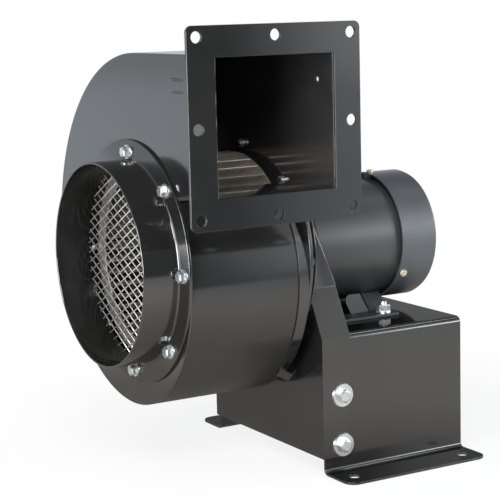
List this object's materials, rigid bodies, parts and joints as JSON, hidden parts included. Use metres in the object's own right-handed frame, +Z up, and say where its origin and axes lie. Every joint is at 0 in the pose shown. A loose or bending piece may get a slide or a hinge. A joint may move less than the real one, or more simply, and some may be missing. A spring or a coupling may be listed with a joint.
{
  "type": "centrifugal blower",
  "caption": "Black sheet-steel centrifugal blower: scroll housing with flanged square outlet, guarded round inlet collar, multi-vane impeller and foot-mounted motor on a folded stand.",
  "frame": {"origin": "middle of the four foot holes, on the floor", "axes": "+X along the fan axis from the inlet to the motor, -Y out of the outlet, +Z up"},
  "size_m": [0.36, 0.344, 0.446],
  "materials": {
    "stand_paint": "glossy black powder coat",
    "housing_paint": "satin black powder coat",
    "collar_paint": "satin black over spun sheet, bare rim",
    "guard_steel": "bright zinc",
    "zinc": "bright zinc plate",
    "motor_paint": "satin black",
    "shield_casting": "die cast, painted black",
    "yellow_zinc": "yellow zinc plate",
    "core_steel": "stacked electrical sheet",
    "winding_copper": "lacquered copper wire",
    "bearing_steel": "ground",
    "shaft_steel": "machined",
    "cast_aluminium": "as cast",
    "galvanised_sheet": "galvanised",
    "rubber": "matte",
    "black_plastic": "moulded"
  },
  "bodies": {
    "stand": {"base_box": "stand_paint", "upright_bracket": "stand_paint", "bracket_bolts": "zinc", "bracket_washers": "zinc", "bracket_nuts": "zinc", "scroll_wrap": "housing_paint", "front_plate": "housing_paint", "rear_plate": "housing_paint", "rear_lip": "housing_paint", "outlet_flange": "housing_paint", "inlet_collar": "collar_paint", "inlet_bolts": "zinc", "inlet_nuts": "zinc", "inlet_guard": "guard_steel", "motor_ring": "housing_paint", "motor_ring_bolts": "zinc", "motor_ring_nuts": "zinc", "motor_shell": "motor_paint", "front_shield": "shield_casting", "rear_shield": "shield_casting", "tie_rods": "zinc", "motor_foot": "motor_paint", "foot_bolts": "zinc", "foot_washers": "zinc", "foot_nuts": "zinc", "fan_cowl": "motor_paint", "cowl_screws": "yellow_zinc", "stator_core": "core_steel", "stator_windings": "winding_copper", "front_bearing_outer": "bearing_steel", "rear_bearing_outer": "bearing_steel", "preload_spring": "bearing_steel", "terminal_box": "motor_paint", "terminal_lid": "motor_paint", "lid_screws": "zinc", "cable_gland": "black_plastic"},
    "rotor": {"motor_shaft": "shaft_steel", "rotor_core": "core_steel", "rotor_end_rings": "cast_aluminium", "front_bearing_inner": "bearing_steel", "rear_bearing_inner": "bearing_steel", "impeller_hub": "shaft_steel", "impeller_back_disc": "galvanised_sheet", "hub_rivets": "zinc", "impeller_blades": "galvanised_sheet", "impeller_front_ring": "galvanised_sheet", "shaft_key": "shaft_steel", "hub_set_screw": "shaft_steel", "end_washer": "zinc", "end_screw": "zinc", "shaft_slinger": "rubber", "cooling_fan": "black_plastic", "fan_clip": "zinc"},
    "front_cage": {"front_ball_cage": "bearing_steel"},
    "rear_cage": {"rear_ball_cage": "bearing_steel"}
  },
  "joints": [
    {"name": "rotor_spin", "type": "hinge", "parent": "stand", "child": "rotor", "pos_m": [0, 0, 0.217], "axis": [1, 0, 0], "continuous": true},
    {"name": "front_cage_spin", "type": "hinge", "parent": "stand", "child": "front_cage", "pos_m": [0, 0, 0.217], "axis": [1, 0, 0], "continuous": true},
    {"name": "rear_cage_spin", "type": "hinge", "parent": "stand", "child": "rear_cage", "pos_m": [0, 0, 0.217], "axis": [1, 0, 0], "continuous": true}
  ],
  "couplings": [
    {"joint": "front_cage_spin", "follows": "rotor_spin", "ratio": 0.3808},
    {"joint": "rear_cage_spin", "follows": "rotor_spin", "ratio": 0.3808}
  ]
}
